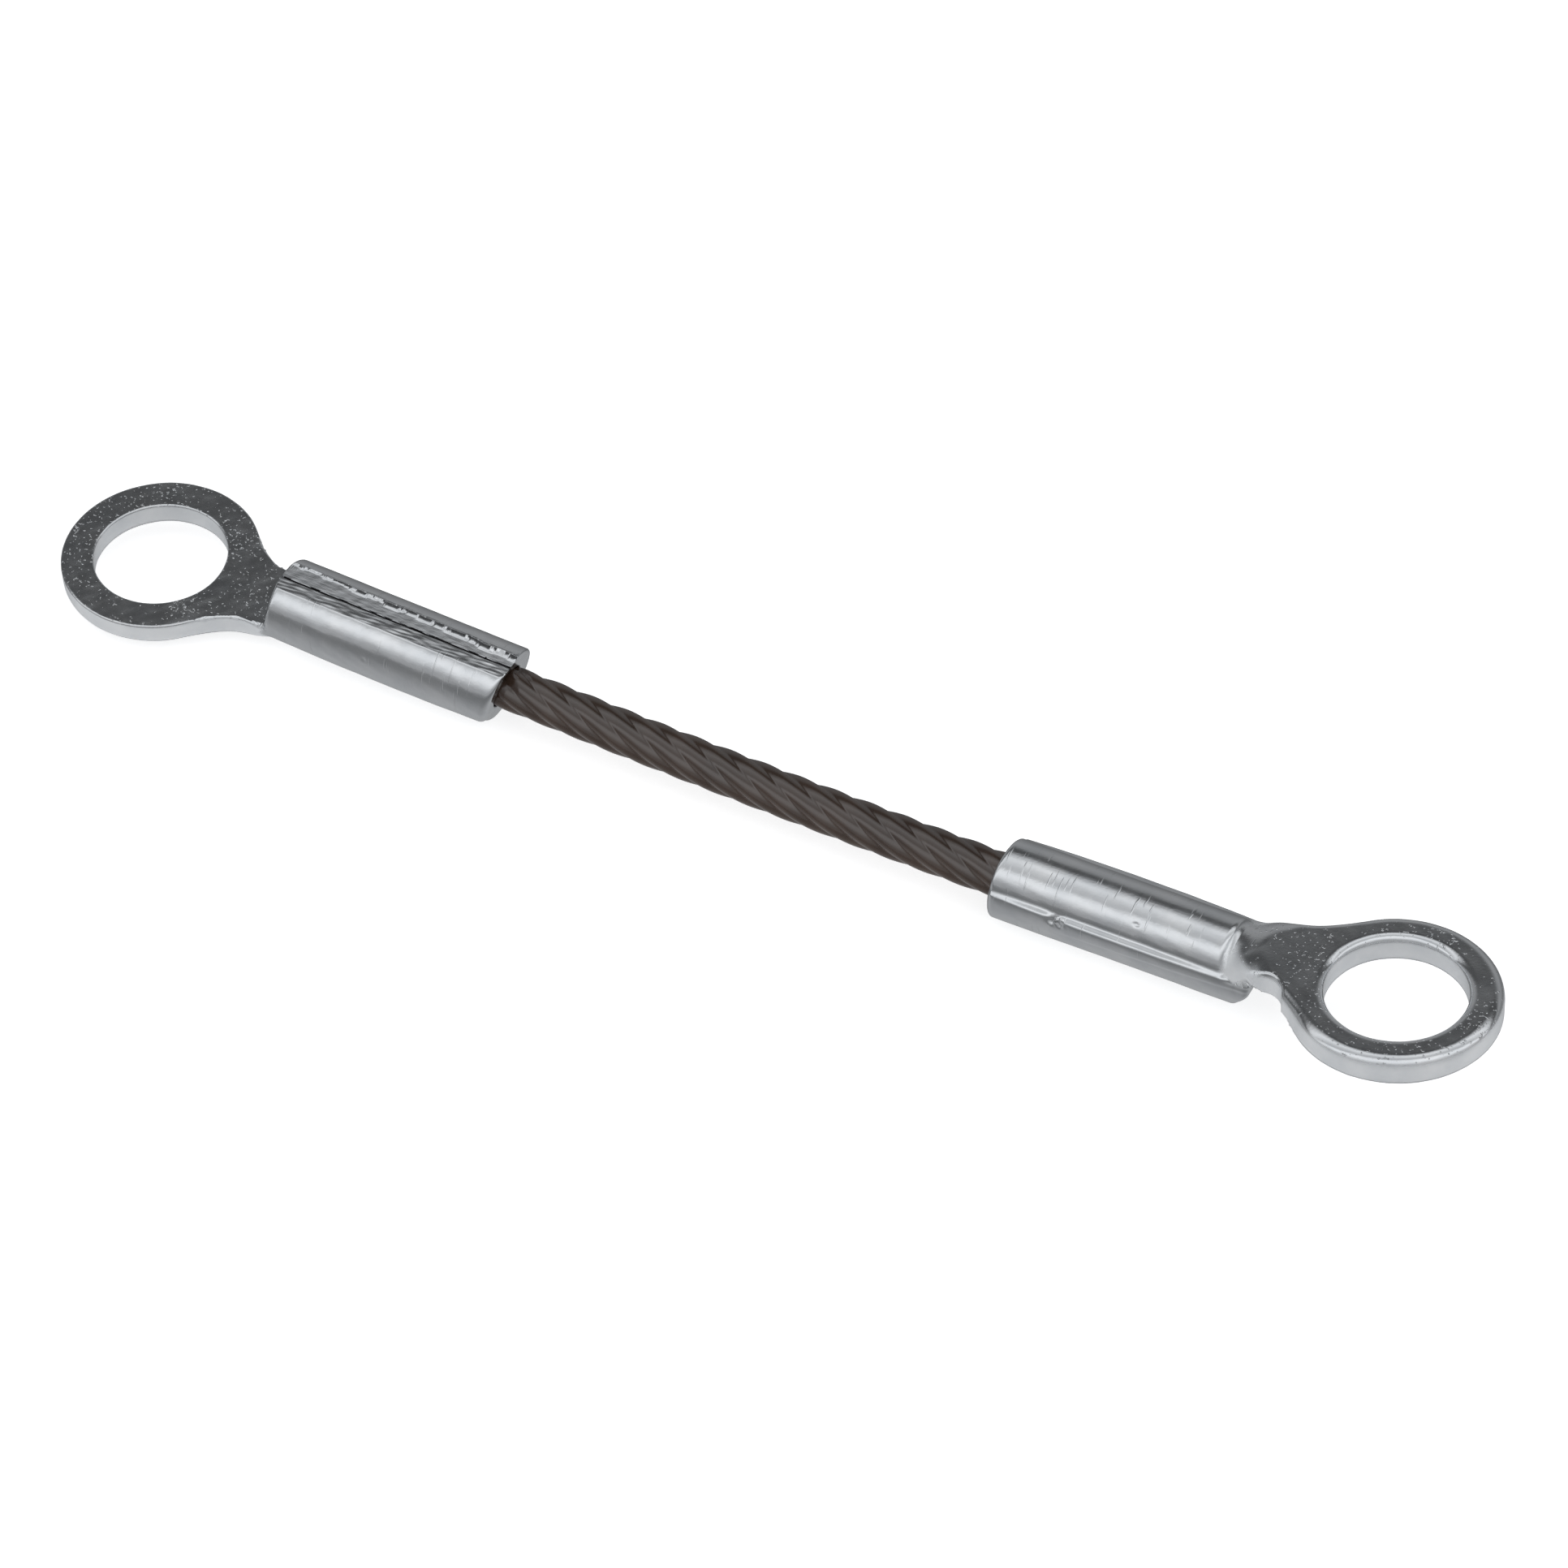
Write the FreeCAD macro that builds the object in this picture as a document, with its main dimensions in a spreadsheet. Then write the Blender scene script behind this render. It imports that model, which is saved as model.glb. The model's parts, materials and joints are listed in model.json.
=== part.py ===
import FreeCAD, Part
import math
import os
import Sketcher

# A short plastic-coated wire rope with a stamped ring terminal crimped on each end.
# X runs through the two barrel mouths, with the origin half-way. Z is up, across the flats of the
# rings. The free rope sags a little below X, and each terminal carries on along the rope's end.
# The left terminal has its barrel seam up. The right one is the same stamping turned over.
# The rope is cut into short rigid lengths that hinge on each other, so that it can bend.

V = FreeCAD.Vector
doc = FreeCAD.newDocument("wire_rope_link")

DIMENSIONS = [
    ("eye_centre_x", 73.0, "ring centre from mid-length: 146 mm, 5-3/4 in, between centres"),
    ("eye_hole_radius", 7.15, "clear hole in each ring, 9/16 in across"),
    ("eye_rim_radius", 10.6, "outside of each ring"),
    ("plate_thickness", 2.9, "ring and neck"),
    ("plate_offset", 1.2, "rope axis to the near face of the ring"),
    ("edge_rounding", 0.75, "die roll on the floor side of ring and neck"),
    ("neck_half_width", 3.8, "narrowest part between ring and barrel"),
    ("notch_radius", 2.5, "hollow between neck and ring"),
    ("mouth_x", 29.3, "barrel mouth, where the rope enters"),
    ("barrel_length", 28.0, "wings, along the rope"),
    ("neck_overlap", 1.6, "neck length that runs into the barrel end"),
    ("bore_radius", 2.41, "inside of the closed barrel"),
    ("wing_radius", 4.35, "outside of the wings"),
    ("floor_radius", 3.8, "outside of the barrel floor, a lobe narrower than the wings"),
    ("floor_rise", 0.8, "rope axis to the centre of the lobe's arc"),
    ("floor_overlap", 0.5, "depth of the lobe's root inside the wings"),
    ("floor_half_angle", 50.0, "lobe, each side of the floor's middle, about its own centre"),
    ("floor_length", 26.1, "lobe, along the rope"),
    ("hump_radius", 1.75, "curl of each wing beside the seam"),
    ("hump_centre_y", 1.3, "curl centre from the seam"),
    ("seam_half_gap", 0.06, "half the gap between the two wing edges"),
    ("left_roll", 9.0, "left barrel about the rope, from the plane of its ring, in degrees"),
    ("right_roll", -5.5, "the same on the right, before that terminal is turned over"),
    ("eye_twist", 2.75, "each ring about the rope, in degrees, opposite ways"),
    ("eye_pitch", 1.5, "each terminal bent up from the rope, in degrees"),
    ("jacket_radius", 2.38, "plastic coat, 3/16 in across"),
    ("jacket_bore_radius", 2.0, "inside of the coat, round the strands"),
    ("strand_radius", 0.625, "each outer strand"),
    ("strand_circle_radius", 1.36, "helix that the outer strands follow"),
    ("core_radius", 0.715, "straight strand in the middle"),
    ("lay_length", 24.6, "one right-hand turn of a strand"),
    ("lay_phase", 5.6, "the first outer strand at mid-length, in degrees round the rope from below"),
    ("rope_end_x", 55.6, "cut end of the rope inside each barrel"),
    ("hinge_pitch", 7.15, "from one hinge to the next"),
    ("hinge_gap", 0.72, "between two rope lengths, so that they clear when bent"),
]
STRANDS = 6
HINGES = 8
LENGTHS = HINGES + 1
TOLERANCE = 1e-6

sheet = doc.addObject("Spreadsheet::Sheet", "dims")
for row, (alias, value, meaning) in enumerate(DIMENSIONS, start=1):
    sheet.set(f"A{row}", meaning)
    sheet.set(f"B{row}", str(value))
    sheet.setAlias(f"B{row}", alias)
doc.recompute()

size = {alias: float(sheet.get(alias)) for alias, _, _ in DIMENSIONS}
SUBPARTS = []


def bind(obj, path, expression):
    """Bind a property to the sheet; the expression names cells as dims.alias."""
    obj.setExpression(path, expression)


def new_sketch(body, name, plane_role):
    plane = next(f for f in body.Origin.OriginFeatures if f.Role == plane_role)
    sketch = body.newObject("Sketcher::SketchObject", name)
    sketch.AttachmentSupport = [(plane, "")]
    sketch.MapMode = "FlatFace"
    return sketch


def constrain(sketch, kind, *where, cell=None):
    """Add a constraint; one with a value is bound to a cell or to a formula of cells."""
    if cell is None:
        return sketch.addConstraint(Sketcher.Constraint(kind, *where))
    index = sketch.addConstraint(Sketcher.Constraint(kind, *where))
    bind(sketch, f"Constraints[{index}]", cell)
    return index


def arc(centre, radius, start, end):
    """Arc of a circle in the sketch plane, counter-clockwise between two angles in radians."""
    return Part.ArcOfCircle(Part.Circle(centre, V(0, 0, 1), radius), start, end)


# Sketcher's own numbers for a point of an element, and for the sketch's axis and origin
START, END, CENTRE = 1, 2, 3
X_AXIS = -1
Y_AXIS = -2
ORIGIN = (-1, 1)


def plate_sketch(body):
    """Outline of the flat part: ring, hollows beside the neck, and the neck into the barrel."""
    eye_x, rim, hole = size["eye_centre_x"], size["eye_rim_radius"], size["eye_hole_radius"]
    neck, notch = size["neck_half_width"], size["notch_radius"]
    root_x = size["mouth_x"] + size["barrel_length"] - size["neck_overlap"]
    notch_y = neck + notch
    notch_dx = math.sqrt((rim + notch) ** 2 - notch_y**2)
    notch_x = eye_x - notch_dx
    reach = math.atan2(notch_y, notch_dx)

    sketch = new_sketch(body, f"{body.Name}_plate_outline", "XY_Plane")
    ring = sketch.addGeometry(arc(V(-eye_x, 0, 0), rim, reach, 2 * math.pi - reach))
    far_centre = V(-notch_x, notch_y, 0)
    near_centre = V(-notch_x, -notch_y, 0)
    far_notch = sketch.addGeometry(arc(far_centre, notch, math.pi + reach, 1.5 * math.pi))
    near_notch = sketch.addGeometry(arc(near_centre, notch, 0.5 * math.pi, math.pi - reach))
    corners = [V(-notch_x, neck, 0), V(-root_x, neck, 0), V(-root_x, -neck, 0), V(-notch_x, -neck, 0)]
    far_side, root, near_side = [
        sketch.addGeometry(Part.LineSegment(a, b)) for a, b in zip(corners, corners[1:])
    ]
    eye = sketch.addGeometry(Part.Circle(V(-eye_x, 0, 0), V(0, 0, 1), hole))

    constrain(sketch, "Tangent", ring, START, far_notch, START)
    constrain(sketch, "Tangent", ring, END, near_notch, END)
    constrain(sketch, "Tangent", far_notch, END, far_side, START)
    constrain(sketch, "Tangent", near_notch, START, near_side, END)
    constrain(sketch, "Coincident", far_side, END, root, START)
    constrain(sketch, "Coincident", root, END, near_side, START)
    constrain(sketch, "Horizontal", far_side)
    constrain(sketch, "Horizontal", near_side)
    constrain(sketch, "Vertical", root)
    constrain(sketch, "PointOnObject", ring, CENTRE, X_AXIS)
    constrain(sketch, "Coincident", eye, CENTRE, ring, CENTRE)
    constrain(sketch, "DistanceX", ring, CENTRE, *ORIGIN, eye_x, cell="dims.eye_centre_x")
    constrain(sketch, "Radius", ring, rim, cell="dims.eye_rim_radius")
    constrain(sketch, "Radius", eye, hole, cell="dims.eye_hole_radius")
    constrain(sketch, "Radius", far_notch, notch, cell="dims.notch_radius")
    constrain(sketch, "Radius", near_notch, notch, cell="dims.notch_radius")
    constrain(sketch, "DistanceY", *ORIGIN, far_side, START, neck, cell="dims.neck_half_width")
    constrain(sketch, "DistanceY", near_side, START, *ORIGIN, neck, cell="dims.neck_half_width")
    constrain(
        sketch, "DistanceX", root, START, *ORIGIN, root_x,
        cell="dims.mouth_x + dims.barrel_length - dims.neck_overlap",
    )
    bind(sketch, "AttachmentOffset.Base.z", "-dims.plate_offset - dims.plate_thickness")
    return sketch


def barrel_sketch(body, roll_cell):
    """Section across the barrel: a round bore, and two wings that curl together at the seam."""
    wing, bore = size["wing_radius"], size["bore_radius"]
    hump, hump_y, gap = size["hump_radius"], size["hump_centre_y"], size["seam_half_gap"]
    hump_z = math.sqrt((wing - hump) ** 2 - hump_y**2)
    lean = math.atan2(hump_z, hump_y)
    crest_z = hump_z + math.sqrt(hump**2 - (hump_y - gap) ** 2)
    foot_z = math.sqrt(bore**2 - gap**2)
    crest = math.atan2(crest_z - hump_z, gap - hump_y)
    foot = math.atan2(foot_z, gap)

    sketch = new_sketch(body, f"{body.Name}_barrel_section", "YZ_Plane")
    outside = sketch.addGeometry(arc(V(0, 0, 0), wing, math.pi - lean, 2 * math.pi + lean))
    right_hump = sketch.addGeometry(arc(V(hump_y, hump_z, 0), hump, lean, crest))
    left_hump = sketch.addGeometry(arc(V(-hump_y, hump_z, 0), hump, math.pi - crest, math.pi - lean))
    right_edge = sketch.addGeometry(Part.LineSegment(V(gap, crest_z, 0), V(gap, foot_z, 0)))
    left_edge = sketch.addGeometry(Part.LineSegment(V(-gap, crest_z, 0), V(-gap, foot_z, 0)))
    inside = sketch.addGeometry(arc(V(0, 0, 0), bore, math.pi - foot, 2 * math.pi + foot))

    constrain(sketch, "Coincident", outside, CENTRE, *ORIGIN)
    constrain(sketch, "Coincident", inside, CENTRE, *ORIGIN)
    constrain(sketch, "Tangent", outside, END, right_hump, START)
    constrain(sketch, "Tangent", outside, START, left_hump, END)
    constrain(sketch, "Coincident", right_hump, END, right_edge, START)
    constrain(sketch, "Coincident", left_hump, START, left_edge, START)
    constrain(sketch, "Coincident", inside, END, right_edge, END)
    constrain(sketch, "Coincident", inside, START, left_edge, END)
    constrain(sketch, "Vertical", right_edge)
    constrain(sketch, "Vertical", left_edge)
    constrain(sketch, "Radius", outside, wing, cell="dims.wing_radius")
    constrain(sketch, "Radius", inside, bore, cell="dims.bore_radius")
    constrain(sketch, "Radius", right_hump, hump, cell="dims.hump_radius")
    constrain(sketch, "Radius", left_hump, hump, cell="dims.hump_radius")
    constrain(sketch, "DistanceX", *ORIGIN, right_hump, CENTRE, hump_y, cell="dims.hump_centre_y")
    constrain(sketch, "DistanceX", left_hump, CENTRE, *ORIGIN, hump_y, cell="dims.hump_centre_y")
    constrain(sketch, "DistanceX", *ORIGIN, right_edge, START, gap, cell="dims.seam_half_gap")
    constrain(sketch, "DistanceX", left_edge, START, *ORIGIN, gap, cell="dims.seam_half_gap")
    place_section(sketch, roll_cell, "dims.barrel_length")
    return sketch


def floor_sketch(body, roll_cell):
    """Section of the lobe under the barrel: a crescent whose arc is centred below the rope axis."""
    outer, inner = size["floor_radius"], size["wing_radius"] - size["floor_overlap"]
    rise = size["floor_rise"]
    half = math.radians(size["floor_half_angle"])
    half_width = outer * math.sin(half)
    outer_foot = -rise - outer * math.cos(half)
    inner_foot = -math.sqrt(inner**2 - half_width**2)
    reach = math.asin(half_width / inner)
    down = 1.5 * math.pi

    sketch = new_sketch(body, f"{body.Name}_floor_section", "YZ_Plane")
    outside = sketch.addGeometry(arc(V(0, -rise, 0), outer, down - half, down + half))
    inside = sketch.addGeometry(arc(V(0, 0, 0), inner, down - reach, down + reach))
    sides = []
    for y, end in ((-half_width, START), (half_width, END)):
        side = sketch.addGeometry(Part.LineSegment(V(y, inner_foot, 0), V(y, outer_foot, 0)))
        constrain(sketch, "Coincident", side, START, inside, end)
        constrain(sketch, "Coincident", side, END, outside, end)
        constrain(sketch, "Vertical", side)
        sides.append(side)
    constrain(sketch, "Coincident", inside, CENTRE, *ORIGIN)
    constrain(sketch, "PointOnObject", outside, CENTRE, Y_AXIS)
    constrain(sketch, "DistanceY", outside, CENTRE, *ORIGIN, rise, cell="dims.floor_rise")
    constrain(sketch, "Radius", outside, outer, cell="dims.floor_radius")
    constrain(sketch, "Radius", inside, inner, cell="dims.wing_radius - dims.floor_overlap")
    width_formula = "dims.floor_radius * sin(dims.floor_half_angle * 1 deg)"
    constrain(sketch, "DistanceX", sides[0], START, *ORIGIN, half_width, cell=width_formula)
    constrain(sketch, "DistanceX", *ORIGIN, sides[1], START, half_width, cell=width_formula)
    place_section(sketch, roll_cell, "dims.floor_length")
    return sketch


def place_section(sketch, roll_cell, length_cell):
    """Stand a section at the ring end of a pad that ends at the mouth, rolled about the rope."""
    sketch.AttachmentOffset = FreeCAD.Placement(V(0, 0, 0), FreeCAD.Rotation(V(0, 0, 1), 1))
    bind(sketch, "AttachmentOffset.Base.z", f"-dims.mouth_x - {length_cell}")
    bind(sketch, "AttachmentOffset.Rotation.Angle", f"dims.{roll_cell} * 1 deg")


def pad(body, name, sketch, length_cell):
    feature = body.newObject("PartDesign::Pad", name)
    feature.Profile = sketch
    bind(feature, "Length", length_cell)
    doc.recompute()
    return feature


def end_placement(side):
    """Where an end of the link stands: twisted about the rope, and bent up at the mouth."""
    twist = FreeCAD.Rotation(V(1, 0, 0), -side * size["eye_twist"])
    pitch = FreeCAD.Rotation(V(0, 1, 0), -side * size["eye_pitch"])
    mouth = V(side * size["mouth_x"], 0, 0)
    bent = FreeCAD.Placement(V(0, 0, 0), pitch, mouth)
    return bent.multiply(FreeCAD.Placement(V(0, 0, 0), twist))


def make_terminal(label, side, roll_cell):
    """A stamped ring terminal. It is drawn as the left one, and the right one is turned over."""
    body = doc.addObject("PartDesign::Body", label)
    body.Label = label
    plate = pad(body, f"{label}_plate", plate_sketch(body), "dims.plate_thickness")
    lower_z = -size["plate_offset"] - size["plate_thickness"]
    barrel_end_x = -size["mouth_x"] - size["barrel_length"]
    lower_edges = []
    for number, edge in enumerate(plate.Shape.Edges, start=1):
        box = edge.BoundBox
        if abs(box.ZMax - lower_z) < TOLERANCE and box.XMin < barrel_end_x:
            lower_edges.append(f"Edge{number}")
    rounding = body.newObject("PartDesign::Fillet", f"{label}_die_roll")
    rounding.Base = (plate, lower_edges)
    bind(rounding, "Radius", "dims.edge_rounding")
    doc.recompute()
    pad(body, f"{label}_barrel", barrel_sketch(body, roll_cell), "dims.barrel_length")
    pad(body, f"{label}_floor", floor_sketch(body, roll_cell), "dims.floor_length")
    turned = FreeCAD.Placement(V(0, 0, 0), FreeCAD.Rotation(V(0, 1, 0), 90 + 90 * side))
    body.Placement = end_placement(side).multiply(turned)
    SUBPARTS.append(body)


def rope_start(number):
    """Where one rigid length of rope starts along X, counted from 1 at the left."""
    if number == 1:
        return -size["rope_end_x"]
    first_hinge = -size["hinge_pitch"] * (HINGES - 1) / 2
    return first_hinge + (number - 2) * size["hinge_pitch"] + size["hinge_gap"] / 2


def length_formula(number):
    if 1 < number < LENGTHS:
        return "dims.hinge_pitch - dims.hinge_gap"
    return f"dims.rope_end_x - dims.hinge_pitch * {(HINGES - 1) / 2} - dims.hinge_gap / 2"


def sagging(number):
    """Where a middle length lies on the free rope, a parabola as steep at a mouth as its terminal."""
    steepness = math.tan(math.radians(size["eye_pitch"])) / size["mouth_x"]
    middle_x = (number - (LENGTHS + 1) / 2) * size["hinge_pitch"]
    height = steepness * (middle_x**2 - size["mouth_x"] ** 2) / 2
    tilt = FreeCAD.Rotation(V(0, 1, 0), -math.degrees(math.atan(steepness * middle_x)))
    return FreeCAD.Placement(V(0, 0, height), tilt, V(middle_x, 0, 0))


def along_rope(number, start, turn=0.0):
    """Lay a piece that is drawn up Z along the rope, from where it starts."""
    lie = FreeCAD.Placement(V(start, 0, 0), FreeCAD.Rotation(V(0, 1, 0), 90))
    lie = lie.multiply(FreeCAD.Placement(V(0, 0, 0), FreeCAD.Rotation(V(0, 0, 1), turn)))
    if number == 1:
        return end_placement(-1).multiply(lie)
    if number == LENGTHS:
        return end_placement(1).multiply(lie)
    return sagging(number).multiply(lie)


def cylinder(name, radius_cell, height_cell):
    solid = doc.addObject("Part::Cylinder", name)
    bind(solid, "Radius", radius_cell)
    bind(solid, "Height", height_cell)
    return solid


def make_jacket(number, start):
    coat = doc.addObject("Part::Cut", f"jacket_{number}")
    coat.Base = cylinder(f"jacket_skin_{number}", "dims.jacket_radius", length_formula(number))
    coat.Tool = cylinder(f"jacket_hollow_{number}", "dims.jacket_bore_radius", length_formula(number))
    coat.Placement = along_rope(number, start)
    SUBPARTS.append(coat)


def make_core(number, start):
    core = cylinder(f"core_strand_{number}", "dims.core_radius", length_formula(number))
    core.Placement = along_rope(number, start)
    SUBPARTS.append(core)


def make_outer_strands(number, start):
    """Six strands laid right-hand round the core, each a round bar for its twisted wires.

    A slanted bar's end reaches past its path's end by the recess, so the path is that much shorter.
    """
    lay_angle = math.atan2(2 * math.pi * size["strand_circle_radius"], size["lay_length"])
    recess = size["strand_radius"] * math.sin(lay_angle)
    recess_formula = "dims.strand_radius * sin(atan(2 * pi * dims.strand_circle_radius / dims.lay_length))"
    helix = doc.addObject("Part::Helix", f"strand_path_{number}")
    bind(helix, "Pitch", "dims.lay_length")
    bind(helix, "Radius", "dims.strand_circle_radius")
    bind(helix, "Height", f"{length_formula(number)} - 2 * {recess_formula}")
    section = doc.addObject("Part::Circle", f"strand_section_{number}")
    bind(section, "Radius", "dims.strand_radius")
    across = FreeCAD.Rotation(V(1, 0, 0), -math.degrees(lay_angle))
    section.Placement = FreeCAD.Placement(V(size["strand_circle_radius"], 0, 0), across)
    strand = doc.addObject("Part::Sweep", f"strand_{number}")
    strand.Sections = [section]
    strand.Spine = (helix, ["Edge1"])
    strand.Solid = True
    strand.Frenet = True
    doc.recompute()

    copies = []
    for place in range(STRANDS):
        copy = strand.Shape.copy()
        copy.rotate(V(0, 0, 0), V(0, 0, 1), place * 360 / STRANDS)
        copies.append(copy)
    group = doc.addObject("Part::Feature", f"outer_strands_{number}")
    group.Shape = Part.makeCompound(copies)
    turn = size["lay_phase"] + 360 * (start + recess) / size["lay_length"]
    group.Placement = along_rope(number, start + recess, turn)
    SUBPARTS.append(group)


make_terminal("left_terminal", -1, "left_roll")
make_terminal("right_terminal", 1, "right_roll")
for number in range(1, LENGTHS + 1):
    start = rope_start(number)
    make_jacket(number, start)
    make_core(number, start)
    make_outer_strands(number, start)
doc.recompute()

for obj in doc.Objects:
    if "Invalid" in obj.State or "Error" in obj.State:
        raise RuntimeError(f"{obj.Label} failed: {obj.State}")
for part in SUBPARTS:
    if part.Shape.isNull() or not part.Shape.isValid():
        raise RuntimeError(f"{part.Label} has no valid shape")

os.makedirs("parts", exist_ok=True)
for part in SUBPARTS:
    part.Shape.exportStep(f"parts/{part.Label}.step")
    print(part.Label, len(part.Shape.Solids), round(part.Shape.Volume, 3))
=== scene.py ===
import json
import math

import bmesh
import bpy
import numpy as np
from mathutils import Matrix, Vector

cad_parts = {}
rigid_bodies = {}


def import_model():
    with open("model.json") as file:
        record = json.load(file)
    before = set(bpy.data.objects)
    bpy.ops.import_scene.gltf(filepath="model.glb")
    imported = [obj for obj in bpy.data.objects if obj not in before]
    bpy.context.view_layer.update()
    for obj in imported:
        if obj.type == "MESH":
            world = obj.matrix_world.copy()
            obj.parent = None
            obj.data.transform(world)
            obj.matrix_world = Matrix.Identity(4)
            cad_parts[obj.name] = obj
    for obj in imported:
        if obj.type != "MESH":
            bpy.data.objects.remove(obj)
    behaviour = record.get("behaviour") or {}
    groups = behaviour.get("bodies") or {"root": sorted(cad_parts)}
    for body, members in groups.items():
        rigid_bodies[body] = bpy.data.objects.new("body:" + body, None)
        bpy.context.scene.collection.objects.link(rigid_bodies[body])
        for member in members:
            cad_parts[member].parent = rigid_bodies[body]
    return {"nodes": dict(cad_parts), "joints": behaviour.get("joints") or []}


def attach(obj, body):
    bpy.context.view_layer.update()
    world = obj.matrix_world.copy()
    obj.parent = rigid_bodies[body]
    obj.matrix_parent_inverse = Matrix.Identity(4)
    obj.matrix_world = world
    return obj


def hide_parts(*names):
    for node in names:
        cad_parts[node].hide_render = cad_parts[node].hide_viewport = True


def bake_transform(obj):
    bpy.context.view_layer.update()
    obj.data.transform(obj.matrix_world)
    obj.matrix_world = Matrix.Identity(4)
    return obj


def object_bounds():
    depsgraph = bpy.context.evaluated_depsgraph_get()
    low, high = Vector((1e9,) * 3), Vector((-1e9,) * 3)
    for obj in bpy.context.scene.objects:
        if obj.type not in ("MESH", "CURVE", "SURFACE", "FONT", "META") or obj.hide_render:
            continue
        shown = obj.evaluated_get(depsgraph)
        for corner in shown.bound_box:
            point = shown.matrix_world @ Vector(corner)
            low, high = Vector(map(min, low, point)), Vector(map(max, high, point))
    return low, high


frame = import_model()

CAD_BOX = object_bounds()

MM = 0.001

# Terminal, in millimetres. The left one is drawn: ring towards -X, barrel floor down, seam up.
EYE_X = 73.0
EYE_HOLE = 7.15  # radius
EYE_RIM = 10.6  # radius
PLATE_TOP = -1.2
PLATE_FLOOR = -4.1
DIE_ROLL = 1.2  # rounding of the floor side's edges
SHARP_EDGE = 0.12
NECK_FAR = 4.4
NECK_ROOT = -55.7
NECK_ROLL = 3.95  # radius that the neck is rolled up to at its root
NECK_SPREAD = 0.45  # how fast that radius grows towards the ring
NECK_HOLLOW = 0.3  # depth of the dip under the neck's root
FILLET = 3.3  # between ring and neck
MOUTH_X = 29.3
BACK_X = -57.3
BORE = 2.41
WING = 4.35
LOBE = 3.8  # the floor side's lobe, a circle whose centre is LOBE_RISE off the barrel's
LOBE_RISE = 0.8
LOBE_END_X = -55.2
STEP = 0.6  # length of the step from the lobe to the neck
FLUSH = 3.8
DIE_LINE = math.radians(55)
LEDGE = math.radians(65)
LEDGE_FALL = math.radians(19)
FOLD_START = math.radians(75)
FOLD_CLIMB = math.radians(15)
SEAM_Z = 3.92
SEAM_HALF = 0.085
SEAM_GAPE = 0.85
EYE_TWIST = 2.75  # degrees
EYE_PITCH = 1.5  # degrees
VOXEL = 0.15

# What differs between the two crimps. mouth_lean tilts the barrel's cut end to the side and up;
# side_notch is a bite's centre and radius, and the left one's lies clear of its neck.
LEFT = {
    "roll": 9.0, "wing": 4.42, "flash": 0.22, "fold": 0.0, "shelf": 2.15, "ragged": 1.0,
    "mouth": 29.75, "mouth_lean": (-0.05, -0.27), "wing_cut": 0.5, "flare": (1.6, 0.0),
    "neck_near": 3.9, "side_notch": (-61.0, -8.6, 2.3), "nicks": [((-44.6, -4.3, 0.7), 0.2, 0.05)],
}
RIGHT = {
    "roll": -11.0, "wing": 4.27, "flash": 0.36, "fold": 0.07, "shelf": 1.8, "ragged": 0.4,
    "mouth": 29.2, "mouth_lean": (0.05, -0.127), "wing_cut": 0.6, "flare": (1.5, 2.4),
    "neck_near": 4.9, "side_notch": (-61.0, -6.5, 2.4),
    "nicks": [((-37.3, -4.2, -0.9), 0.5, 0.40), ((-45.8, -3.0, -3.1), 0.2, 0.09)],
}

# Rope, in millimetres
JACKET = 2.38  # radius over a strand
VALLEY = 0.32  # how far the coat sinks between strands
LAY = 24.6
LAY_PHASE = math.radians(5.6)
STRANDS = 6
ROPE_END = 55.6
JACKET_ROW = 0.14  # length of one row of faces
JACKET_SIDES = 132
HINGE_X = [j["pos_m"][0] / MM for j in frame["joints"]]
BODIES = [frame["joints"][0]["parent"]] + [j["child"] for j in frame["joints"]]

# The list of this jacket piece's two end bodies is reversed, so that its right-hand body comes first
COUNTED_BACK = 7

SCENE = bpy.context.scene.collection


# ---------------------------------------------------------------- small mesh helpers

def new_object(name, vertices, faces, material):
    """A smooth-shaded mesh object; vertices are in millimetres."""
    mesh = bpy.data.meshes.new(name)
    mesh.from_pydata([tuple(v) for v in np.asarray(vertices) * MM], [], [tuple(f) for f in faces])
    mesh.validate()
    mesh.polygons.foreach_set("use_smooth", np.ones(len(mesh.polygons), bool))
    mesh.materials.append(material)
    obj = bpy.data.objects.new(name, mesh)
    SCENE.objects.link(obj)
    return obj


def rotation(axis, degrees):
    return np.array(Matrix.Rotation(math.radians(degrees), 3, axis))


def smoothstep(lo, hi, x):
    t = np.clip((x - lo) / (hi - lo), 0.0, 1.0)
    return t * t * (3 - 2 * t)


def lump(p, scale, seed):
    """Smooth noise in -1..1 from a few sine waves with seeded directions."""
    draw = np.random.default_rng(seed)
    total = np.zeros(len(p))
    for k in range(6):
        way = draw.normal(size=3)
        way *= (0.6 + 0.8 * draw.random()) * 2 * math.pi / (scale * np.linalg.norm(way))
        total += np.sin(p @ way + draw.random() * 2 * math.pi)
    return total / 3.2


# ---------------------------------------------------------------- terminal as a distance field

def round_cut(a, b, r):
    """Intersection of two half-spaces whose shared edge is rounded to radius r."""
    u, v = np.maximum(a + r, 0), np.maximum(b + r, 0)
    return np.minimum(np.maximum(a, b) + r, 0) + np.hypot(u, v) - r


def round_join(a, b, r):
    """Union of two solids with a fillet of radius r where they meet."""
    u, v = np.maximum(r - a, 0), np.maximum(r - b, 0)
    return np.maximum(r, np.minimum(a, b)) - np.hypot(u, v)


def side_notch(p, style):
    """Outside of the round bite that the crimping die left in the near side of the right neck."""
    x, y, r = style["side_notch"]
    return r - np.hypot(p[:, 0] - x, p[:, 1] - y)


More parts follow.
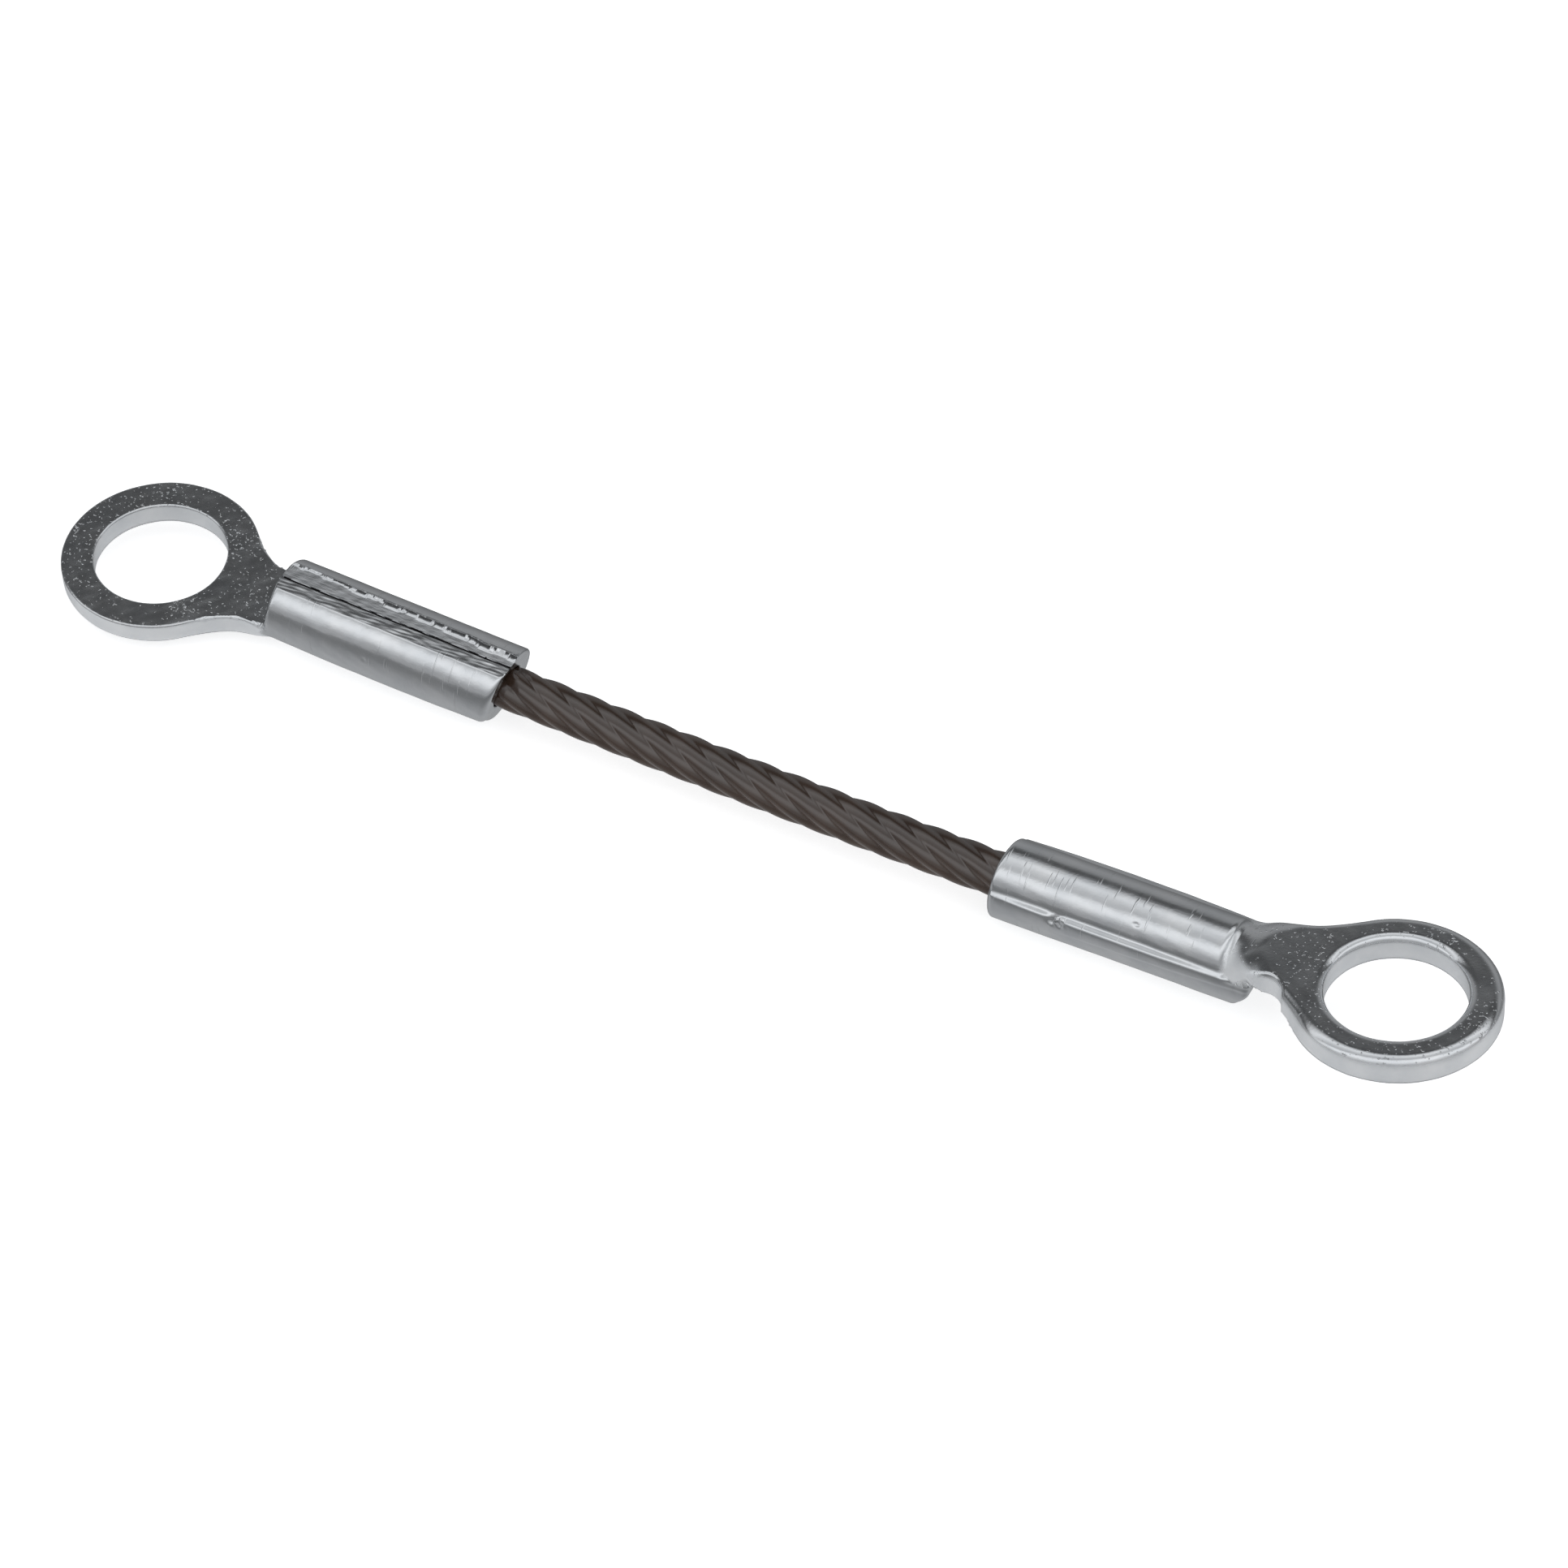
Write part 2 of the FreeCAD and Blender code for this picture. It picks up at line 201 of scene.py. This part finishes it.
def plate_field(p, style):
    """Ring and neck. The floor side's edges are drawn round by the die, the other side's are sharp."""
    x, y, z = p.T
    from_eye = np.hypot(x + EYE_X, y)
    ring = from_eye - EYE_RIM
    across = np.maximum(-style["neck_near"] - y, y - NECK_FAR)
    rolled_up = np.hypot(y, z) - (NECK_ROLL + NECK_SPREAD * np.maximum(NECK_ROOT - x, 0))
    neck = np.maximum.reduce([-EYE_X - x, x - NECK_ROOT, round_cut(across, rolled_up, 1.0)])
    outline = round_join(ring, neck, FILLET)
    hole = EYE_HOLE - from_eye
    hollow = NECK_HOLLOW * np.exp(-(((x - NECK_ROOT + 0.7) / 1.3) ** 2))
    below, above = PLATE_FLOOR + hollow - z, z - PLATE_TOP
    stamped = np.maximum.reduce([
        round_cut(outline, below, DIE_ROLL),
        round_cut(outline, above, SHARP_EDGE),
        round_cut(hole, below, DIE_ROLL * 0.7),
        round_cut(hole, above, SHARP_EDGE),
    ])
    return round_cut(stamped, side_notch(p, style), 0.3)


def along_barrel(x):
    """Share of the barrel's length, from 0 at the ring end to 1 at the mouth."""
    return np.clip((x - BACK_X) / (-MOUTH_X - BACK_X), 0, 1)


def barrel_radius(angle, x, style):
    """Outside radius at an angle from the middle of the floor: lobe, ledge at the die line, wing."""
    turn = np.abs(angle)
    from_floor = np.minimum(turn, math.pi / 2)
    lobe = LOBE_RISE * np.cos(from_floor) + np.sqrt(LOBE**2 - (LOBE_RISE * np.sin(from_floor)) ** 2)
    in_lobe = smoothstep(LOBE_END_X - STEP, LOBE_END_X, x)
    floor = FLUSH + (lobe - FLUSH) * in_lobe
    along = along_barrel(x)
    flash = style["flash"] * np.sin(math.pi * along) ** 0.6
    wing = style["wing"] + flash * np.exp(-(((turn - LEDGE) / LEDGE_FALL) ** 2))
    fold = FOLD_START + FOLD_CLIMB * along
    folded = smoothstep(fold - 0.03, fold + 0.03, turn)
    wing = wing - style["fold"] * smoothstep(0.8, 0.5, along) * folded
    return floor + (wing - floor) * smoothstep(DIE_LINE, LEDGE, turn)


def mouth_at(y, z, style):
    """X of the barrel's mouth, which the crimping die left leaning."""
    lean_y, lean_z = style["mouth_lean"]
    return -style["mouth"] - lean_y * y - lean_z * z


def back_at(z, style):
    """X of the barrel's ring end: the wings stop short and the floor side flares on into the neck."""
    reach, height = style["flare"]
    short = style["wing_cut"] * smoothstep(-2.0, 4.0, z)
    return BACK_X + short - reach * smoothstep(height, height - 3.2, z)


def barrel_field(p, style):
    """The rolled-up barrel: floor and wings round the bore, with the wings' edges met at the seam."""
    x, y, z = (p @ rotation("X", style["roll"])).T
    near = -y
    outer = np.hypot(y, z) - barrel_radius(np.arctan2(y, -z), x, style)
    mouth = x - mouth_at(y, z, style)
    back = back_at(z, style) - x

    from_seam = np.arctan2(near - 0.7, np.maximum(z, 0.01))
    gape = SEAM_GAPE * np.exp(-((from_seam / 0.42) ** 2)) * smoothstep(3.0, 0.2, -mouth) * (z > 0)
    inner = BORE - 0.02 + gape - np.hypot(y, z)
    to_near = np.arctan2(z, near) / 0.75
    worn = 0.3 + 0.6 * np.exp(-(to_near**2))
    solid = np.maximum.reduce([
        round_cut(outer, mouth, worn),
        round_cut(outer, back, 0.55),
        round_cut(inner, mouth, 0.25),
        round_cut(inner, back, 0.25),
    ])

    along = along_barrel(x)
    lengthwise = np.stack([x, 0 * x, 0 * x], 1)
    ragged = lump(lengthwise, 2.6, 3) * 0.11 + lump(lengthwise, 0.7, 4) * 0.05
    shelf_edge = style["shelf"] - (style["shelf"] - 1.5) * along + ragged * style["ragged"]
    shelf = SEAM_Z + np.where(near > 0, 0.115, 0.09) * near
    torn = smoothstep(0.1, 0.5, near) * (1 - smoothstep(1.2, 2.0, near))
    shelf = shelf + 0.012 * lump(p * [0.3, 1, 1], 0.5, 5) * style["ragged"] * (0.2 + torn)
    dip = np.minimum(z - shelf, np.where(near > 0, 3.0, shelf_edge) - np.abs(near))
    gap = SEAM_HALF + 0.025 * lump(lengthwise, 1.1, 6) * style["ragged"]
    seam = np.minimum(gap - np.abs(y), z)
    return np.maximum.reduce([solid, dip, seam])


def terminal_field(p, style):
    """The whole terminal: plate and barrel joined, dented and nicked."""
    dents = 0.012 * lump(p, 5.0, 8) + 0.006 * lump(p, 1.6, 9)
    for centre, size, depth in style["nicks"]:
        away = np.linalg.norm((p - centre) * [0.6, 1, 1], axis=1) / size
        dents = dents + depth * np.exp(-(away**2)) * (1 + 0.6 * lump(p, size * 1.5, 11))
    barrel = barrel_field(p, style)
    barrel = round_cut(barrel, np.where(p[:, 2] < 0.5, side_notch(p, style), -5), 0.25)
    return round_join(plate_field(p, style), barrel, 0.5) + dents


def settle(p, field, rounds=15):
    """Move points along the field's slope until they lie on its surface."""
    step = 0.01
    for turn in range(rounds):
        reach = 0.25 if turn < 8 else 0.1
        here = field(p)
        rise = [field(p + step * e) - field(p - step * e) for e in np.eye(3)]
        slope = np.stack(rise, 1) / (2 * step)
        size2 = np.maximum((slope**2).sum(1), 0.05)
        move = slope * (here / size2)[:, None]
        length = np.linalg.norm(move, axis=1, keepdims=True)
        p = p - move * np.minimum(1, reach / np.maximum(length, 1e-9))
    return p


def rough_terminal(style):
    """Plain closed stand-in for the terminal, to be remeshed: ring, neck, webs and a slotted tube.

    It lies close to the final surface, so that settle moves every point to the face it belongs to.
    """
    mesh = bmesh.new()

    def loop(points):
        return [mesh.verts.new([v * MM for v in point]) for point in points]

    def skin(first, second, closed=True):
        count = len(first)
        for i in range(count if closed else count - 1):
            j = (i + 1) % count
            mesh.faces.new((first[i], first[j], second[j], second[i]))

    turn = np.linspace(0, 2 * math.pi, 96, endpoint=False)
    sides = []
    for radius in (EYE_RIM, EYE_HOLE):
        round_eye = [(-EYE_X + radius * math.cos(t), radius * math.sin(t)) for t in turn]
        sides.append([loop([(x, y, z) for x, y in round_eye]) for z in (PLATE_FLOOR, PLATE_TOP)])
    skin(sides[0][0], sides[0][1])
    skin(sides[1][1], sides[1][0])
    skin(sides[1][0], sides[0][0])
    skin(sides[0][1], sides[1][1])

    ends = [
        loop([(x, y, z) for y, z in ((-near, low), (far, low), (far, high), (-near, high))])
        for x, near, far, low, high in (
            (-EYE_X + 8.2, style["neck_near"], NECK_FAR, PLATE_FLOOR, PLATE_TOP),
            (NECK_ROOT - 3.4, 3.75, 4.2, PLATE_FLOOR, PLATE_TOP),
            (NECK_ROOT, 2.8, 2.8, PLATE_FLOOR + 0.7, PLATE_TOP - 0.3),
        )
    ]
    skin(ends[0], ends[1])
    skin(ends[1], ends[2])
    mesh.faces.new(ends[0])
    mesh.faces.new(ends[2])

    # Webs fill the corners between ring and neck, where the fillet will be
    for side, width in ((1, NECK_FAR), (-1, style["neck_near"])):
        arc_y = width + FILLET
        arc_x = math.sqrt((EYE_RIM + FILLET) ** 2 - arc_y**2)
        share = EYE_RIM / (EYE_RIM + FILLET)
        corners = ((arc_x, width), (arc_x * share, arc_y * share), (8.0, width - 1.5))
        web = [
            loop([(x - EYE_X, y * side, z) for x, y in corners]) for z in (PLATE_FLOOR, PLATE_TOP)
        ]
        skin(web[0], web[1])
        mesh.faces.new(web[0])
        mesh.faces.new(web[1])

    slot = VOXEL * 1.2 / WING
    turn = np.linspace(slot, 2 * math.pi - slot, 120) + math.pi / 2
    roll = rotation("X", style["roll"])
    tube = []
    for at_back, radius in ((True, WING), (False, WING), (False, BORE), (True, BORE)):
        y, z = radius * np.cos(turn), radius * np.sin(turn)
        x = back_at(z, style) if at_back else mouth_at(y, z, style)
        tube.append(loop((np.stack([x, y, z], 1) @ roll.T).tolist()))
    for first, second in zip(tube, tube[1:] + tube[:1]):
        skin(first, second, closed=False)
    for i in (0, -1):
        mesh.faces.new([ring[i] for ring in tube])
    bmesh.ops.recalc_face_normals(mesh, faces=mesh.faces)
    data = bpy.data.meshes.new("rough_terminal")
    mesh.to_mesh(data)
    mesh.free()
    return data


def voxel_points(data, size_mm):
    """The points and faces of a mesh after a voxel remesh, in millimetres."""
    obj = bpy.data.objects.new("voxel_source", data)
    SCENE.objects.link(obj)
    remesh = obj.modifiers.new("voxels", "REMESH")
    remesh.mode = "VOXEL"
    remesh.voxel_size = size_mm * MM
    bpy.context.view_layer.update()
    done = bpy.data.meshes.new_from_object(obj.evaluated_get(bpy.context.evaluated_depsgraph_get()))
    points = np.zeros(len(done.vertices) * 3)
    done.vertices.foreach_get("co", points)
    faces = [tuple(f.vertices) for f in done.polygons]
    bpy.data.objects.remove(obj)
    bpy.data.meshes.remove(done)
    return points.reshape(-1, 3) / MM, faces


def surface_marks(points, style):
    """Where the terminal was pressed by the die, torn at the seam, or cut, and where painted shade
    darkens the seam's gap and the bore.
    """
    on_barrel = smoothstep(0.5, -0.3, barrel_field(points, style) - plate_field(points, style))
    _, y, z = (points @ rotation("X", style["roll"])).T
    near_seam = smoothstep(1.9, 1.0, np.abs(y)) * (z > 3.2)
    height = points[:, 2]
    wall = smoothstep(PLATE_FLOOR + 0.4, PLATE_FLOOR + 0.9, height) * (1 - on_barrel)
    wall = wall * smoothstep(PLATE_TOP - 0.1, PLATE_TOP - 0.3, height)
    # Painted shade: points in the seam's gap and in the bore are marked to be darkened in the zinc's
    # base colour.
    in_gap = smoothstep(0.25, 0.15, np.abs(y)) * smoothstep(SEAM_Z - 0.02, SEAM_Z - 0.2, z)
    in_bore = smoothstep(BORE + 0.12, BORE + 0.05, np.hypot(y, z))
    painted_shade = np.maximum(in_gap * (z > 0), in_bore) * on_barrel
    return {"pressed": on_barrel, "seam": near_seam, "cut": wall, "painted_shade": painted_shade}


def make_terminal(name, side, style, material):
    points, faces = voxel_points(rough_terminal(style), VOXEL)
    points = settle(points, lambda p: terminal_field(p, style))
    placed = points @ rotation("Y", 180).T if side > 0 else points
    placed = placed @ rotation("X", -side * EYE_TWIST).T
    mouth = np.array([side * MOUTH_X, 0, 0])
    placed = (placed - mouth) @ rotation("Y", -side * EYE_PITCH).T + mouth
    piece = new_object(name, placed, faces, material)
    for label, values in surface_marks(points, style).items():
        painted = piece.data.attributes.new(label, "FLOAT", "POINT")
        painted.data.foreach_set("value", values.astype(np.float32))
    return piece


# ---------------------------------------------------------------- rope

def jacket_radius(around):
    """Radius of the coat over one strand: around is -1..1 from valley to valley."""
    return JACKET - VALLEY * np.abs(around) ** 1.8


def rope_height(x):
    """Height of the rope's axis: a shallow sag, and straight on inside each barrel."""
    slope = math.tan(math.radians(EYE_PITCH))
    sag = slope * (x**2 - MOUTH_X**2) / (2 * MOUTH_X)
    return np.where(np.abs(x) > MOUTH_X, (np.abs(x) - MOUTH_X) * slope, sag)


def make_jacket_piece(name, start, end, material):
    """One length of the coat, its strands' lay running on from piece to piece."""
    rows = max(2, round((end - start) / JACKET_ROW))
    around = JACKET_SIDES
    xs = np.linspace(start, end, rows + 1)
    turn = np.linspace(0, 2 * math.pi, around, endpoint=False)
    grid_x, grid_t = np.meshgrid(xs, turn, indexing="ij")
    phase = grid_t - LAY_PHASE - 2 * math.pi * grid_x / LAY
    share = (phase * STRANDS / (2 * math.pi) + 0.5) % 1.0
    radius = jacket_radius(2 * share - 1)
    height = rope_height(grid_x)
    y, z = np.sin(grid_t) * radius, -np.cos(grid_t) * radius
    points = np.stack([grid_x, y, z + height], -1).reshape(-1, 3)
    faces = []
    for i in range(rows):
        for j in range(around):
            k = (j + 1) % around
            here, there = i * around, (i + 1) * around
            faces.append((here + j, here + k, there + k, there + j))
    return new_object(name, points, faces, material)


# ---------------------------------------------------------------- materials

class Shader:
    """A node material with a few short calls."""

    def __init__(self, name):
        self.material = bpy.data.materials.new(name)
        self.material.use_nodes = True
        self.tree = self.material.node_tree
        self.tree.nodes.clear()
        self.out = self.tree.nodes.new("ShaderNodeOutputMaterial")
        self.bsdf = self.tree.nodes.new("ShaderNodeBsdfPrincipled")
        self.link(self.bsdf.outputs[0], self.out.inputs[0])
        self.place = self.tree.nodes.new("ShaderNodeTexCoord").outputs["Object"]

    def link(self, a, b):
        self.tree.links.new(a, b)

    def set(self, **sockets):
        for key, value in sockets.items():
            self.bsdf.inputs[key.replace("_", " ")].default_value = value

    def field(self, name):
        """A value painted on the mesh's points."""
        node = self.tree.nodes.new("ShaderNodeAttribute")
        node.attribute_name = name
        return node.outputs["Fac"]

    def mix(self, first, second, share):
        """Vectors or colours blended by a share of 0 to 1."""
        node = self.tree.nodes.new("ShaderNodeMix")
        node.data_type = "VECTOR"
        self.link(share, node.inputs["Factor"])
        self.link(first, node.inputs[4])
        self.link(second, node.inputs[5])
        return node.outputs[1]

    def stretch(self, scale):
        node = self.tree.nodes.new("ShaderNodeMapping")
        node.inputs["Scale"].default_value = scale
        self.link(self.place, node.inputs["Vector"])
        return node.outputs[0]

    def noise(self, scale, detail=3.0, rough=0.5, vector=None):
        node = self.tree.nodes.new("ShaderNodeTexNoise")
        node.inputs["Scale"].default_value = scale
        node.inputs["Detail"].default_value = detail
        node.inputs["Roughness"].default_value = rough
        self.link(vector or self.place, node.inputs["Vector"])
        return node.outputs["Fac"]

    def ramp(self, value, stops):
        node = self.tree.nodes.new("ShaderNodeValToRGB")
        marks = node.color_ramp.elements
        while len(marks) < len(stops):
            marks.new(0.5)
        for mark, (at, colour) in zip(marks, stops):
            mark.position = at
            mark.color = (*colour, 1)
        self.link(value, node.inputs[0])
        return node.outputs[0]

    def span(self, value, low, high, out_low, out_high):
        node = self.tree.nodes.new("ShaderNodeMapRange")
        limits = zip(("From Min", "From Max", "To Min", "To Max"), (low, high, out_low, out_high))
        for key, number in limits:
            node.inputs[key].default_value = number
        self.link(value, node.inputs["Value"])
        return node.outputs[0]

    def add(self, first, second):
        node = self.tree.nodes.new("ShaderNodeMath")
        node.operation = "ADD"
        self.link(first, node.inputs[0])
        self.link(second, node.inputs[1])
        return node.outputs[0]

    def bump(self, height, strength, distance, after=None):
        node = self.tree.nodes.new("ShaderNodeBump")
        node.inputs["Strength"].default_value = strength
        node.inputs["Distance"].default_value = distance
        self.link(height, node.inputs["Height"])
        if after:
            self.link(after, node.inputs["Normal"])
        return node.outputs[0]


def zinc():
    """Zinc plate on stamped steel: pitted on the flats, burnished and drawn where the die pressed."""
    s = Shader("zinc_plate")
    pressed, seam, cut, painted_shade = (s.field(name) for name in ("pressed", "seam", "cut", "painted_shade"))
    clouds = s.noise(240, detail=4, rough=0.6)
    grain = s.noise(3200, detail=2, rough=0.6)
    patches = s.span(s.noise(160, detail=2), 0.3, 0.7, -0.07, 0.07)
    pits = s.ramp(
        s.add(s.noise(2800, detail=1, rough=0.5), patches),
        [(0.66, (0, 0, 0)), (0.74, (1, 1, 1))],
    )
    drawn = s.noise(700, detail=4, rough=0.7, vector=s.stretch((0.12, 1.0, 1.0)))
    nicks = s.ramp(
        s.noise(900, detail=1, rough=0.4, vector=s.stretch((3.2, 0.3, 0.3))),
        [(0.68, (0, 0, 0)), (0.74, (1, 1, 1))],
    )
    sheared = s.noise(1500, detail=3, rough=0.6, vector=s.stretch((1.0, 1.0, 0.12)))
    ripped = s.noise(1900, detail=3, rough=0.6, vector=s.stretch((0.22, 1, 1)))

    flat = s.bump(pits, 1.0, 0.00007, after=s.bump(grain, 0.25, 0.00002))
    marked = s.bump(nicks, 0.6, 0.00003, after=s.bump(grain, 0.25, 0.00003))
    worked = s.bump(drawn, 0.35, 0.00003, after=marked)
    torn = s.bump(ripped, 0.55, 0.00004)
    edge = s.bump(sheared, 0.35, 0.00004)
    normal = s.mix(s.mix(s.mix(flat, worked, pressed), torn, seam), edge, cut)
    s.link(normal, s.bsdf.inputs["Normal"])

    tone = s.ramp(clouds, [(0.3, (0.65, 0.67, 0.69)), (0.7, (0.76, 0.77, 0.78))])
    # Painted shade: a near-black tone that replaces the zinc's colour in the seam's gap and the bore.
    painted_shade_tone = s.ramp(clouds, [(0.3, (0.06, 0.06, 0.06)), (0.7, (0.18, 0.18, 0.18))])
    s.link(s.mix(tone, painted_shade_tone, painted_shade), s.bsdf.inputs["Base Color"])
    polish = s.noise(500, detail=3, rough=0.6)
    rubbed = s.add(s.span(polish, 0.3, 0.7, 0.11, 0.19), s.span(pressed, 0, 1, 0, 0.04))
    finish = s.add(rubbed, s.span(cut, 0, 1, 0, 0.2))
    s.link(finish, s.bsdf.inputs["Roughness"])
    s.link(s.span(cut, 0, 1, 1.0, 0.35), s.bsdf.inputs["Metallic"])
    return s.material


def jacket_plastic():
    """Dark warm grey plastic, shiny where it is drawn over each strand, with fine dust and grain."""
    s = Shader("rope_jacket")
    clouds = s.noise(300, detail=3)
    grain = s.noise(3400, detail=3, rough=0.6)
    wavy = s.noise(650, detail=2)
    tone = s.ramp(clouds, [(0.35, (0.040, 0.025, 0.018)), (0.65, (0.052, 0.033, 0.024))])
    s.link(tone, s.bsdf.inputs["Base Color"])
    s.link(s.span(grain, 0.3, 0.7, 0.09, 0.15), s.bsdf.inputs["Roughness"])
    dusty = s.bump(grain, 0.15, 0.00002, after=s.bump(wavy, 0.2, 0.00005))
    s.link(dusty, s.bsdf.inputs["Normal"])
    s.set(Specular_IOR_Level=1.0)
    return s.material


def rope_wire():
    """Galvanized wire, seen only at the rope's cut ends."""
    s = Shader("rope_wire")
    grain = s.noise(1800, detail=3)
    tone = s.ramp(grain, [(0.3, (0.42, 0.42, 0.41)), (0.7, (0.6, 0.6, 0.58))])
    s.link(tone, s.bsdf.inputs["Base Color"])
    s.link(s.span(grain, 0.3, 0.7, 0.35, 0.5), s.bsdf.inputs["Roughness"])
    s.set(Metallic=1.0)
    return s.material


def floor_paper():
    """Plain white paper, lit a little from within so that it stays even."""
    s = Shader("floor_paper")
    grain = s.noise(900, detail=2)
    tone = s.ramp(grain, [(0.4, (0.90, 0.90, 0.90)), (0.6, (0.92, 0.92, 0.92))])
    s.link(tone, s.bsdf.inputs["Base Color"])
    s.set(Roughness=0.9, Emission_Color=(1, 1, 1, 1), Emission_Strength=FLOOR_GLOW)
    return s.material


ZINC = zinc()
PLASTIC = jacket_plastic()
WIRE = rope_wire()

# ---------------------------------------------------------------- build

for side, label, body, style in ((-1, "left", BODIES[0], LEFT), (1, "right", BODIES[-1], RIGHT)):
    piece = make_terminal(f"{label}_terminal_skin", side, style, ZINC)
    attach(piece, body)
    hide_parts(f"{label}_terminal")

# Each jacket piece spans one hinge, from the middle of a rope length to the middle of the next
middles = [(a + b) / 2 for a, b in zip(HINGE_X, HINGE_X[1:])]
cuts = [-ROPE_END + 0.1] + middles + [ROPE_END - 0.1]
for number, (hinge, start, end) in enumerate(zip(HINGE_X, cuts, cuts[1:]), start=1):
    piece = make_jacket_piece(f"jacket_bend_{number}", start, end, PLASTIC)
    near = max(start, -MOUTH_X)
    far = min(end, MOUTH_X)
    ends = [(BODIES[number - 1], (near * MM, 0, 0)), (BODIES[number], (far * MM, 0, 0))]
    if number == COUNTED_BACK:
        ends.reverse()
    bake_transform(piece)
    nodes = [f"jacket_{number}"] + ([f"jacket_{number + 1}"] if number == len(HINGE_X) else [])
    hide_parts(*nodes)

for name, node in frame["nodes"].items():
    if "strand" in name:
        node.data.materials.clear()
        node.data.materials.append(WIRE)

# ---------------------------------------------------------------- floor, light and camera

FLOOR_Z = CAD_BOX[0][2] - 0.0002
FLOOR_HALF = 1200
FLOOR_GLOW = 0.66
square = ((-1, -1), (1, -1), (1, 1), (-1, 1))
corners = [(x * FLOOR_HALF, y * FLOOR_HALF, FLOOR_Z / MM) for x, y in square]
floor = new_object("floor", corners, [(0, 1, 2, 3)], floor_paper())
floor.visible_glossy = False

CAMERA_AZIMUTH = 32.44
CAMERA_ELEVATION = 44.79
CAMERA_ROLL = -3.24
CAMERA_DISTANCE = 0.74348
CAMERA_TARGET = Vector((0.00348, 0.0, 0.00119))
SENSOR = 36.0
LENS = 167.742

# Brightness round a circle from the horizon behind the object (0), over the top (90) and the
# camera (135), to the floor in front (-90 and down)
SURROUNDINGS = [
    (-180, 0.25), (-163, 0.20), (-142, 0.24), (-115, 0.36), (-85, 0.45), (-60, 0.40), (-40, 0.17),
    (-25, 0.17), (14, 0.34), (30, 0.30), (42, 0.08), (52, 0.08), (60, 0.52), (72, 0.98),
    (90, 0.66), (102, 0.52), (112, 1.02), (127, 1.06), (140, 0.82), (152, 0.56), (162, 0.42),
]


def studio():
    """Soft surroundings: dark beyond the object, bright over the camera, pale floor in front."""
    world = bpy.data.worlds.new("studio")
    bpy.context.scene.world = world
    world.use_nodes = True
    tree = world.node_tree
    tree.nodes.clear()
    out = tree.nodes.new("ShaderNodeOutputWorld")
    light = tree.nodes.new("ShaderNodeBackground")
    tree.links.new(light.outputs[0], out.inputs[0])
    place = tree.nodes.new("ShaderNodeTexCoord").outputs["Generated"]

    def along(direction):
        node = tree.nodes.new("ShaderNodeVectorMath")
        node.operation = "DOT_PRODUCT"
        node.inputs[1].default_value = direction
        tree.links.new(place, node.inputs[0])
        return node.outputs["Value"]

    a = math.radians(CAMERA_AZIMUTH)
    ahead = along((-math.sin(a), math.cos(a), 0))
    up = along((0, 0, 1))
    angle = tree.nodes.new("ShaderNodeMath")
    angle.operation = "ARCTAN2"
    tree.links.new(up, angle.inputs[0])
    tree.links.new(ahead, angle.inputs[1])
    turn = tree.nodes.new("ShaderNodeMapRange")
    limits = {"From Min": -math.pi, "From Max": math.pi, "To Min": 0, "To Max": 1}
    for key, number in limits.items():
        turn.inputs[key].default_value = number
    tree.links.new(angle.outputs[0], turn.inputs["Value"])
    ramp = tree.nodes.new("ShaderNodeValToRGB")
    marks = ramp.color_ramp.elements
    for _ in range(len(SURROUNDINGS) - 2):
        marks.new(0.5)
    for mark, (degrees, grey) in zip(marks, SURROUNDINGS):
        mark.position = (degrees + 180) / 360
        mark.color = (grey * 0.985, grey, grey * 1.02, 1)
    tree.links.new(turn.outputs[0], ramp.inputs[0])
    tree.links.new(ramp.outputs[0], light.inputs["Color"])
    light.inputs["Strength"].default_value = 1.0


def shot():
    """The camera, at the photograph's angle."""
    a, e, r = (math.radians(x) for x in (CAMERA_AZIMUTH, CAMERA_ELEVATION, CAMERA_ROLL))
    back = Vector((math.sin(a) * math.cos(e), -math.cos(a) * math.cos(e), math.sin(e)))
    level = Vector((math.cos(a), math.sin(a), 0))
    up = back.cross(level)
    right = level * math.cos(r) + up * math.sin(r)
    above = up * math.cos(r) - level * math.sin(r)
    data = bpy.data.cameras.new("photo_camera")
    data.lens = LENS
    data.sensor_width = SENSOR
    data.clip_start = 0.01
    obj = bpy.data.objects.new("photo_camera", data)
    turn = Matrix((right, above, back)).transposed().to_4x4()
    obj.matrix_world = Matrix.Translation(CAMERA_TARGET + back * CAMERA_DISTANCE) @ turn
    SCENE.objects.link(obj)
    bpy.context.scene.camera = obj


studio()
shot()
bpy.context.scene.view_settings.view_transform = "Standard"
